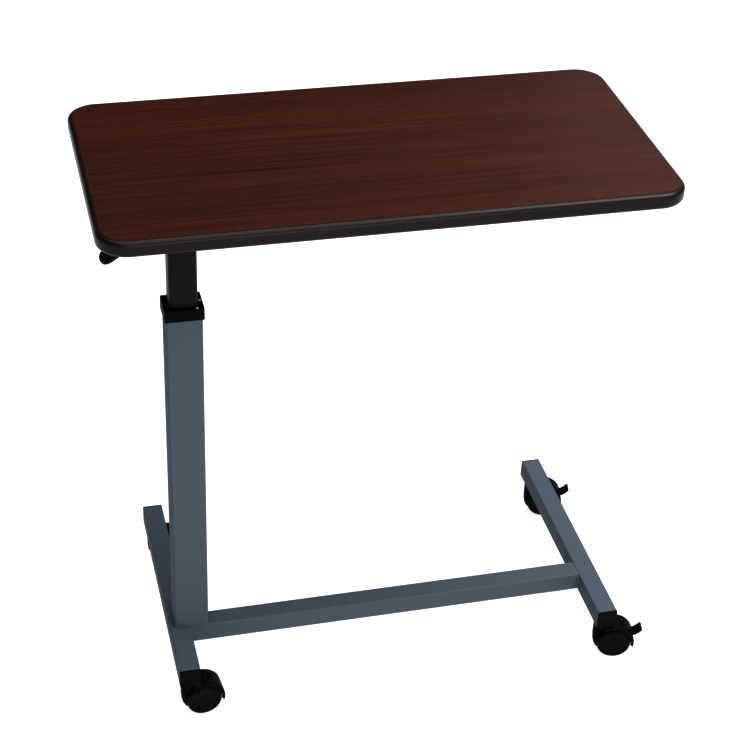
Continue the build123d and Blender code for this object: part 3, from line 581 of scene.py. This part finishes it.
def rail_end_caps():
    """Moulded caps with a softly rounded edge, a shallow panel and a hollow plug."""
    rail_low, rail_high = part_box("left_base_rail")
    size, wall = rail_high.x - rail_low.x, TUBE_WALL
    caps = []
    for low, high in solids("rail_end_caps"):
        outward = -1 if low.y < 0 else 1
        joint = rail_low.y if outward < 0 else rail_high.y
        flange = max(abs(low.y), abs(high.y)) - abs(joint)
        inner = wall + PLUG_WALL
        profile = [(inner, 0), (inner, -CAP_PLUG), (wall, -CAP_PLUG), (wall, 0), (0, 0)]
        profile += arc(CAP_ROUND, flange - CAP_ROUND, CAP_ROUND, 180, 90, 6)
        profile += [(CAP_PANEL, flange), (CAP_PANEL + PANEL_SLOPE, flange - PANEL_DEPTH)]
        bm = bmesh.new()
        quilt(bm, [rounded_rect(size - 2 * inset, size - 2 * inset,
                                max(RAIL_CORNER - inset * 0.5, 0.0006), out)
                   for inset, out in profile], cap=True)
        mesh = make_mesh("cap", bm)
        turn = Matrix.Rotation(-outward * pi / 2, 4, "X")
        mesh.transform(Matrix.Translation(((low.x + high.x) / 2, joint, (low.z + high.z) / 2)) @ turn)
        caps.append(mesh)
    piece("rail_end_cap_set", joined("rail_end_cap_set", *caps), "base", "black_plastic", ["rail_end_caps"])


def bead_mesh(corner, leg, up, sides, length):
    """A rippled fillet weld from a corner, along a direction, between two sides."""
    first, second = sides
    steps = int(length / WELD_RIPPLE * 6)
    rows = []
    for i in range(steps + 1):
        run = length * i / steps
        end = min(run, length - run)
        size = leg * min(1.0, (end / WELD_TAPER) ** 0.5 if end else 0.15)
        row = [corner + up * run]
        for j in range(9):
            t = j / 8
            ripple = 1 + 0.07 * sin(2 * pi * (run / WELD_RIPPLE - 0.8 * sin(pi * t)))
            bulge = 0.22 * sin(pi * t)
            reach = first * ((1 - t) + bulge) + second * (t + bulge)
            row.append(corner + up * run + reach * size * (ripple if 0 < j < 8 else 1))
        rows.append(row)
    bm = bmesh.new()
    quilt(bm, rows, cap=True)
    return make_mesh("bead", bm, 60)


def weld_beads():
    """Fillet welds where the cross rail meets the side rails."""
    rail_low, rail_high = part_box("cross_rail")
    middle = (rail_low + rail_high) / 2
    beads = []
    for low, high in solids("weld_beads"):
        x_side = 1 if low.x < middle.x else -1
        y_side = 1 if low.y > middle.y else -1
        corner = Vector((rail_low.x if x_side > 0 else rail_high.x,
                         rail_high.y if y_side > 0 else rail_low.y, low.z))
        sides = (Vector((x_side, 0, 0)), Vector((0, y_side, 0)))
        beads.append(bead_mesh(corner, WELD_LEG, Vector((0, 0, 1)), sides, high.z - low.z))
    piece("weld_bead_set", joined("weld_bead_set", *beads), "base", "painted_steel", ["weld_beads"])


# ---- mast collar

COLLAR_CORNER, COLLAR_ROUND, COLLAR_DRAFT = 0.0020, 0.0009, 0.0002
COLLAR_HEIGHT, SLIDE_GAP, COLUMN_CORNER = 0.0175, 0.0003, 0.006
LIP_WIDTH, LIP_RISE = 0.0010, 0.0005
SLEEVE_CORNER, MOUTH_CORNER, CAP_CLEARANCE = 0.0014, 0.003, 0.0004
MAST_FIT = 0.0001
PEG_RADIUS, PEG_OFFSET, PEG_RISE = 0.0033, 0.005, 0.008


def mast_collar():
    """Moulded cap over the mast's mouth, with a raised lip at the opening and a sleeve inside."""
    low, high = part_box("mast_collar")
    mast_low, mast_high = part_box("mast_tube")
    middle = (mast_low + mast_high) / 2
    width, depth = (high - low).xy
    column_low, column_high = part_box("inner_column")
    skirt = high.z - COLLAR_HEIGHT
    mast_width, mast_depth = mast_high.x - mast_low.x, mast_high.y - mast_low.y
    rows = [(width, depth, COLLAR_CORNER, skirt)]
    for inset, out in arc(COLLAR_ROUND, -COLLAR_ROUND, COLLAR_ROUND, 180, 90, 5):
        inset += COLLAR_DRAFT
        rows.append((width - 2 * inset, depth - 2 * inset, COLLAR_CORNER - inset / 2, high.z + out))
    open_x, open_y = (size + 2 * SLIDE_GAP for size in (column_high - column_low).xy)
    corner = COLUMN_CORNER + SLIDE_GAP
    for reach, rise in ((LIP_WIDTH + 0.0003, 0.0), (LIP_WIDTH, LIP_RISE * 0.7),
                        (LIP_WIDTH - 0.0003, LIP_RISE), (0.0004, LIP_RISE),
                        (0.0001, LIP_RISE * 0.6), (0.0, 0.0)):
        rows.append((open_x + 2 * reach, open_y + 2 * reach, corner + reach, high.z + rise))
    sleeve_x, sleeve_y = mast_width - 2 * TUBE_WALL, mast_depth - 2 * TUBE_WALL
    under, over_x, over_y = mast_high.z - CAP_CLEARANCE, mast_width + MAST_FIT, mast_depth + MAST_FIT
    rows += [(open_x, open_y, corner, low.z), (sleeve_x, sleeve_y, SLEEVE_CORNER, low.z),
             (sleeve_x, sleeve_y, SLEEVE_CORNER, under), (over_x, over_y, MOUTH_CORNER, under),
             (over_x, over_y, MOUTH_CORNER, skirt)]
    bm = bmesh.new()
    quilt(bm, [rounded_rect(w, d, r, z, 6, middle.x, middle.y) for w, d, r, z in rows], wrap_rows=True)
    collar = make_mesh("collar", bm)
    bm = bmesh.new()
    turned(bm, [(0, 0.0012), (PEG_RADIUS * 0.6, 0.0011), (PEG_RADIUS * 0.9, 0.0007), (PEG_RADIUS, 0),
                (PEG_RADIUS, -0.001), (0, -0.001)], 28)
    peg = make_mesh("peg", bm)
    peg.transform(Matrix.Translation((mast_low.x + TUBE_WALL, middle.y + PEG_OFFSET, low.z + PEG_RISE))
                  @ Matrix.Rotation(-pi / 2, 4, "Y"))
    piece("mast_collar_moulding", joined("mast_collar_moulding", collar, peg), "base", "black_plastic",
          ["mast_collar"])


# ---- support under the top

CROSS_BAR_CORNER, COLUMN_WELD_LEG = 0.003, 0.0025


def support_beam():
    """Folded hat-section channel with real bend radii, welded round the column's top."""
    low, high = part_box("support_beam")
    half_sheet = BEAM_SHEET / 2
    middle_y = (low.y + high.y) / 2
    wall = BEAM_WIDTH / 2 - half_sheet
    corners = [(low.y, high.z - half_sheet), (middle_y - wall, high.z - half_sheet),
               (middle_y - wall, low.z + half_sheet), (middle_y + wall, low.z + half_sheet),
               (middle_y + wall, high.z - half_sheet), (high.y, high.z - half_sheet)]
    outline = thicken(smooth_bends(corners, BEND_RADIUS), BEAM_SHEET)
    bm = bmesh.new()
    bar(bm, outline, low.x, high.x, "X")
    piece("support_beam_channel", make_mesh("support_beam_channel", bm), "lift", "column_paint",
          ["support_beam"])


def cross_bars():
    """Flat bars under both ends of the beam, corners rounded."""
    for node in ("left_cross_bar", "right_cross_bar"):
        low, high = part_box(node)
        middle = (low + high) / 2
        bm = bmesh.new()
        ring = rounded_rect(high.x - low.x, high.y - low.y, CROSS_BAR_CORNER, 0, 6, middle.x, middle.y)
        plan = [(x, y) for x, y, _ in ring]
        bar(bm, plan, low.z, high.z, "Z")
        piece(node + "_flat", make_mesh(node + "_flat", bm), "lift", "column_paint", [node], 0.0005)


def column_weld():
    """A small rippled weld round the column's top, under the beam."""
    low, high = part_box("inner_column")
    middle = (low + high) / 2
    width, depth = high.x - low.x, high.y - low.y
    leg, rows, run = COLUMN_WELD_LEG, [], 0.0
    inner = rounded_rect(width, depth, COLUMN_CORNER, high.z, 40, middle.x, middle.y)
    outer = rounded_rect(width + 2 * leg, depth + 2 * leg, COLUMN_CORNER + leg, high.z, 40,
                         middle.x, middle.y)
    for i, (near, far) in enumerate(zip(inner, outer)):
        near, far = Vector(near), Vector(far)
        run += (near - Vector(inner[i - 1])).length if i else 0.0
        ripple = 1 + 0.10 * sin(2 * pi * run / WELD_RIPPLE)
        foot = near - Vector((0, 0, leg))
        bulge = (far + foot - 2 * near) * 0.58 * ripple
        rows.append([near, far, near + bulge, foot])
    bm = bmesh.new()
    quilt(bm, rows, wrap_rows=True)
    piece("column_weld_bead", make_mesh("column_weld_bead", bm, 60), "lift", "column_paint")


# ---- release lever

LEVER_PATH = ((0.036, 0.0058), (-0.0127, 0.0058), (-0.0407, -0.028), (-0.0677, -0.046))
LEVER_WIDTH, LEVER_THICK, LEVER_BEND, BARREL_RADIUS = 0.016, 0.003, 0.006, 0.0045
GRIP_WIDTH, GRIP_THICK, GRIP_EXTRA, GRIP_CORNER, GRIP_ROUND = 0.031, 0.009, 0.006, 0.013, 0.0036
GRIP_RIDGE, RIDGE_SINK = 0.0008, 0.0002


def joint(name):
    return next(j for j in frame["joints"] if j["name"] == name)


def release_lever():
    """A bent flat bar on a pivot barrel, with a moulded paddle on its drooping end."""
    pivot = Vector(joint("release_lever_hinge")["pos_m"])
    path = [(pivot.x + x, pivot.z + z) for x, z in LEVER_PATH]
    half = LEVER_WIDTH / 2
    bm = bmesh.new()
    bar(bm, thicken(smooth_bends(path, LEVER_BEND), LEVER_THICK), pivot.y - half, pivot.y + half)
    turned(bm, [(0, -half), (BARREL_RADIUS, -half), (BARREL_RADIUS, half), (0, half)], 32,
           Matrix.Translation(pivot) @ Matrix.Rotation(pi / 2, 4, "X"))
    piece("release_lever_bar", make_mesh("release_lever_bar", bm), "release_lever", "column_paint",
          ["release_lever_arm"], 0.0006)
    bend, tip = (Vector((x, pivot.y, z)) for x, z in path[-2:])
    along = (tip - bend).normalized()
    length = (tip - bend).length + GRIP_EXTRA
    over = Vector((0, 1, 0)).cross(along) * -1
    place = Matrix((along, Vector((0, 1, 0)), over)).transposed().to_4x4()
    place.translation = bend
    bm = bmesh.new()
    rise = GRIP_THICK / 2
    side = arc(GRIP_ROUND, rise - GRIP_ROUND, GRIP_ROUND, 90, 180, 7)
    profile = side + [(inset, -z) for inset, z in side[::-1]]
    rows = [rounded_rect(length - 2 * inset, GRIP_WIDTH - 2 * inset, GRIP_CORNER - inset, z, 10, length / 2)
            for inset, z in profile]
    quilt(bm, [[place @ Vector(p) for p in row] for row in rows], cap=True)
    for i in range(5):
        for face in (1, -1):
            ridge = [(x, face * z) for x, z in
                     arc(length * (0.42 + 0.09 * i), rise - RIDGE_SINK, GRIP_RIDGE, 0, 180, 6)]
            bar(bm, ridge, -GRIP_WIDTH * 0.29, GRIP_WIDTH * 0.29, place=place)
    piece("release_lever_paddle", make_mesh("release_lever_paddle", bm, 50), "release_lever",
          "black_plastic", ["release_lever_grip"])


# ---- casters, drawn with the stem on the Z axis and trailing towards +X

CORNERS = {"front_left": False, "front_right": True, "back_right": True, "back_left": False}
WEB_HALF, WHEEL_START, HOOD_HALF = 0.006, 0.0066, 0.017
HOOD_OUTER, HOOD_INNER, HOOD_LIP, HOOD_SHOULDER = 0.032, 0.0296, 0.0264, 0.0032
HOOD_START, HOOD_END, TAIL_RAKE, HOOD_SHIFT = -14.0, 122.0, 9.0, 0.0012
BODY_TOP, CROWN_RADIUS, CROWN_HEIGHT = 0.058, 0.0115, 0.0076
NOSE = ((0.016, 0.051), (0.004, 0.057), (-0.0115, 0.057), (-0.0115, 0.032), (-0.0105, 0.021),
        (-0.0055, 0.0115), (0.016, 0.007))
HOOD_WALL, HOOD_INSIDE_ROUND, WEB_EDGE, NOSE_ROUND, NOSE_BEND = 0.0015, 0.0018, 0.0012, 0.0016, 0.0025
CROWN_EDGE, NOSE_MIDDLE, NOSE_REACH = 0.0014, (0.004, 0.034), 0.022
WEB_INNER, WEB_SPANS = 0.018, ((74.0, HOOD_END), (HOOD_START + 3, 12.0))
BRAKE_HALF, BRAKE_GAP = 0.0086, 0.0004
PEDAL_PATH = ((0.0468, 0.0380), (0.051, 0.0390), (0.0563, 0.0430), (0.0606, 0.0482))
SHOE = (0.0286, 0.0318, 27.0, 66.0)
PEDAL_THICK, SLOT_START, SLOT_END = 0.003, 14.0, 70.0
WHEEL_WIDTH, WHEEL_SHOULDER, WHEEL_EDGE, AXLE_BORE = 0.010, 0.003, 0.0016, 0.00305
STEM_RADIUS, STEM_EDGE = 0.004, 0.0005


class Caster:
    """Where one caster stands, read from its joints and wheels."""

    def __init__(self, name, braked):
        self.name, self.braked = name, braked
        stem = Vector(joint(name + "_swivel")["pos_m"])
        axle = Vector(joint(name + "_near_wheel_spin")["pos_m"])
        low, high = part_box(name + "_near_wheel")
        self.radius = (high.z - low.z) / 2
        self.axle_z = axle.z
        self.trail = (axle - stem).xy.length
        turn = atan2(axle.y - stem.y, axle.x - stem.x)
        self.place = Matrix.Translation((stem.x, stem.y, 0)) @ Matrix.Rotation(turn, 4, "Z")

    def rim(self, radius, angle):
        return self.trail + radius * cos(radians(angle)), self.axle_z + radius * sin(radians(angle))

    def hood_rim(self, radius, angle):
        """The hood's arc is centred a little higher than the axle, and nearer the stem."""
        x, z = self.rim(radius, angle)
        return x - HOOD_SHIFT, z + HOOD_SHIFT

    def sector(self, inner, outer, start, end, rim=None, steps=20):
        """Outline of a ring sector about the axle, or about another centre."""
        rim = rim or self.rim
        sweep = [start + (end - start) * i / steps for i in range(steps + 1)]
        return [rim(outer, a) for a in sweep] + [rim(inner, a) for a in sweep[::-1]]


def hood_shell(caster):
    """The hood: a shallow channel section swept about the axle, with a raked tail."""
    shoulder, lip, fillet = HOOD_SHOULDER, HOOD_WALL, HOOD_INSIDE_ROUND
    side = [(HOOD_HALF, HOOD_LIP)] + arc(HOOD_HALF - shoulder, HOOD_OUTER - shoulder, shoulder, 0, 90, 6)
    under = arc(HOOD_HALF - lip - fillet, HOOD_INNER - fillet, fillet, 90, 0, 4)
    under += [(HOOD_HALF - lip, HOOD_LIP)]
    outside = side + [(-y, r) for y, r in side[::-1]]
    section = outside + [(-y, r) for y, r in under[::-1]] + under
    steps, rows = 40, []
    for i in range(steps + 1):
        angle = HOOD_START + (HOOD_END - HOOD_START) * i / steps
        rake = TAIL_RAKE * (1 - i / steps) ** 4
        row = []
        for y, r in section:
            x, z = caster.hood_rim(r, angle + rake * (HOOD_OUTER - r) / (HOOD_OUTER - HOOD_LIP))
            row.append((x, y, z))
        rows.append(row)
    bm = bmesh.new()
    quilt(bm, rows, cap=True)
    hood = make_mesh("hood", bm)
    if caster.braked:
        bm = bmesh.new()
        gap = BRAKE_HALF + BRAKE_GAP
        bar(bm, caster.sector(0.026, HOOD_OUTER + 0.003, SLOT_START, SLOT_END), -gap, gap)
        hood = cut(hood, make_mesh("slot", bm))
    return hood


def caster_body(caster):
    """Hood, web between the wheels, front housing and crown round the stem."""
    bm = bmesh.new()
    disc = caster.radius - 0.0015
    axle = Matrix.Translation((caster.trail, 0, caster.axle_z)) @ Matrix.Rotation(pi / 2, 4, "X")
    edge = WEB_EDGE
    turned(bm, [(0, -WEB_HALF), (disc - edge, -WEB_HALF), (disc, -WEB_HALF + edge), (disc, WEB_HALF - edge),
                (disc - edge, WEB_HALF), (0, WEB_HALF)], 56, axle)
    for start, end in WEB_SPANS:
        outline = caster.sector(WEB_INNER, HOOD_INNER + 0.001, start, end, caster.hood_rim)
        bar(bm, outline, -WEB_HALF + 0.0002, WEB_HALF - 0.0002)
    top = BODY_TOP
    rounding = arc(CROWN_RADIUS - CROWN_EDGE, top - CROWN_EDGE, CROWN_EDGE, 90, 0, 5)
    turned(bm, [(0, top)] + rounding + [(CROWN_RADIUS, top - CROWN_HEIGHT), (0, top - CROWN_HEIGHT)], 48)
    web = make_mesh("web", bm)
    bm = bmesh.new()
    front = smooth_bends(NOSE, NOSE_BEND, 4)
    width = WEB_HALF + 0.0001
    rows = [(inset, y + width - NOSE_ROUND) for inset, y in arc(NOSE_ROUND, 0.0, NOSE_ROUND, 180, 90, 4)]
    rows = [(inset, -y) for inset, y in rows[::-1]] + rows
    centre = Vector(NOSE_MIDDLE)
    shrink = [[(centre + (p - centre) * (1 - inset / NOSE_REACH)) for p in front] for inset, _ in rows]
    quilt(bm, [[(p.x, y, p.y) for p in ring] for ring, (_, y) in zip(shrink, rows)], cap=True)
    nose = make_mesh("nose", bm)
    body = joined("body", hood_shell(caster), web, nose)
    body.transform(caster.place)
    piece(caster.name + "_caster_hood", body, caster.name + "_swivel", "hood_plastic",
          [caster.name + "_caster_body"])


def caster_wheels(caster):
    """Two moulded wheels: crowned tread, soft shoulders, a plain disc face and a hollow inner side."""
    r, face, shoulder = caster.radius, WHEEL_WIDTH, WHEEL_SHOULDER
    profile = [(0, face - 0.0003), (0.0035, face - 0.0003), (0.0048, face - 0.0006), (0.0060, face - 0.0006),
               (0.0198, face - 0.0004), (0.0204, face - 0.0001), (0.0209, face)]
    profile += arc(r - shoulder, face - shoulder, shoulder, 90, 0, 8)
    profile += arc(r - WHEEL_EDGE, WHEEL_EDGE, WHEEL_EDGE, 0, -90, 4)
    profile += [(0.0212, 0), (0.0208, 0.0043), (0.0072, 0.0043), (0.0070, 0), (AXLE_BORE, 0),
                (AXLE_BORE, 0.0078), (0, 0.0078)]
    for side, which in ((-1, "near"), (1, "far")):
        bm = bmesh.new()
        turned(bm, profile, 72)
        mesh = make_mesh("wheel", bm)
        turn = Matrix.Rotation(-side * pi / 2, 4, "X")
        middle = Matrix.Translation((caster.trail, side * WHEEL_START, caster.axle_z))
        mesh.transform(caster.place @ middle @ turn)
        node = caster.name + "_" + which + "_wheel"
        piece(node + "_moulding", mesh, node, "wheel_nylon", [node])


def brake_pedal(caster):
    """Foot pedal: a curved shoe in the hood's slot and a ribbed tab to tread on."""
    bm = bmesh.new()
    bar(bm, caster.sector(*SHOE), -BRAKE_HALF, BRAKE_HALF)
    path = smooth_bends(PEDAL_PATH, 0.008)
    bar(bm, thicken(path, PEDAL_THICK), -BRAKE_HALF, BRAKE_HALF)
    start, end = Vector(PEDAL_PATH[-2]), Vector(PEDAL_PATH[-1])
    along = (end - start).normalized()
    up = Vector((-along.y, along.x))
    for i in range(3):
        foot = start + along * (0.0005 + 0.0021 * i) + up * (PEDAL_THICK / 2 - 0.0002)
        ridge = [foot + along * x + up * z for x, z in arc(0, 0, 0.0006, 0, 180, 5)]
        bar(bm, ridge, -BRAKE_HALF * 0.8, BRAKE_HALF * 0.8)
    mesh = make_mesh("pedal", bm)
    mesh.transform(caster.place)
    piece(caster.name + "_brake_pedal", mesh, caster.name + "_brake", "hood_plastic",
          [caster.name + "_brake_lever"], 0.0005)


def caster_stems():
    """Turned stems with a grooved seat flange, screwed up into the rails."""
    rail_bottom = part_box("left_base_rail")[0].z
    flange_low = BODY_TOP + 0.0003
    stems = []
    for low, high in solids("caster_stems"):
        radius = (high.x - low.x) / 2
        flange = rail_bottom - flange_low
        profile = [(0, low.z), (STEM_RADIUS - STEM_EDGE, low.z), (STEM_RADIUS, low.z + STEM_EDGE),
                   (STEM_RADIUS, flange_low), (radius - STEM_EDGE, flange_low),
                   (radius, flange_low + STEM_EDGE),
                   (radius, flange_low + flange * 0.40), (radius - 0.0006, flange_low + flange * 0.48),
                   (radius - 0.0006, flange_low + flange * 0.58), (radius, flange_low + flange * 0.66),
                   (radius, rail_bottom - 0.0004), (radius - 0.0004, rail_bottom), (STEM_RADIUS, rail_bottom),
                   (STEM_RADIUS, high.z), (0, high.z)]
        bm = bmesh.new()
        turned(bm, profile, 40)
        mesh = make_mesh("stem", bm)
        mesh.transform(Matrix.Translation(((low.x + high.x) / 2, (low.y + high.y) / 2, 0)))
        stems.append(mesh)
    piece("caster_stem_set", joined("caster_stem_set", *stems), "base", "zinc_steel", ["caster_stems"])


# ---- floor and lights

FLOOR_SIZE = 400.0
# name: place, the point it faces, size and watts
SOFTBOXES = {
    "ceiling": ((0.6, -0.9, 4.6), (0.1, -0.3, 0), (6.5, 4.6), 270.0),
    "key": ((1.2, -0.4, 2.4), (0.3, 0, 0.8), (1.2, 1.2), 42.0),
    "front": ((0.3, -1.9, 2.9), (0, 0, 0.5), (1.8, 1.0), 8.0),
    "low_front": ((0.2, -3.1, 1.1), (-0.2, 0, 0.5), (2.4, 1.4), 50.0),
    "far_floor": ((0.0, 1.4, 4.8), (0, 3.4, 0), (5.0, 2.0), 115.0),
    "back_right": ((2.8, 3.4, 2.4), (0, 0, 0.5), (2.4, 1.2), 20.0),
}
WORLD_LIGHT, VIEW_GAMMA = 0.06, 0.7


def add_floor():
    bm = bmesh.new()
    bmesh.ops.create_grid(bm, x_segments=2, y_segments=2, size=FLOOR_SIZE / 2)
    mesh = bpy.data.meshes.new("floor")
    bm.to_mesh(mesh)
    bm.free()
    floor = bpy.data.objects.new("floor", mesh)
    floor.location.z = cad_low.z
    bpy.context.scene.collection.objects.link(floor)
    n = Nodes("floor")
    tone = n.noise(0.8, 2.0)
    paper = n.ramp(tone, (0.3, 0.34), (0.7, 0.36))
    mesh.materials.append(n.finish(paper, n.spread(tone, 0.85, 0.95), Emission_Color=(1.0, 1.0, 1.0, 1.0),
                                   Emission_Strength=0.84, Specular_IOR_Level=0.1))


def add_softbox(name, place, target, size, power):
    data = bpy.data.lights.new(name, "AREA")
    data.shape, data.size, data.size_y = "RECTANGLE", *size
    data.energy = power
    light = bpy.data.objects.new(name, data)
    light.location = place
    light.rotation_euler = (Vector(target) - Vector(place)).to_track_quat("-Z", "Y").to_euler()
    bpy.context.scene.collection.objects.link(light)


def add_lights():
    world = bpy.data.worlds.new("world")
    world.use_nodes = True
    background = world.node_tree.nodes["Background"]
    background.inputs["Color"].default_value = (1.0, 1.0, 1.0, 1)
    background.inputs["Strength"].default_value = WORLD_LIGHT
    bpy.context.scene.world = world
    for name, softbox in SOFTBOXES.items():
        add_softbox(name, *softbox)
    view = bpy.context.scene.view_settings
    view.view_transform, view.gamma = "Standard", VIEW_GAMMA


materials = make_materials()
dress_cad_nodes()
edge_moulding()
tabletop_screws()
collar_screws()
mast_bolts()
mast_bolt_washers()
rail_end_caps()
weld_beads()
mast_collar()
support_beam()
cross_bars()
column_weld()
release_lever()
for name, braked in CORNERS.items():
    caster = Caster(name, braked)
    caster_body(caster)
    caster_wheels(caster)
    if braked:
        brake_pedal(caster)
caster_stems()
add_camera()
add_floor()
add_lights()
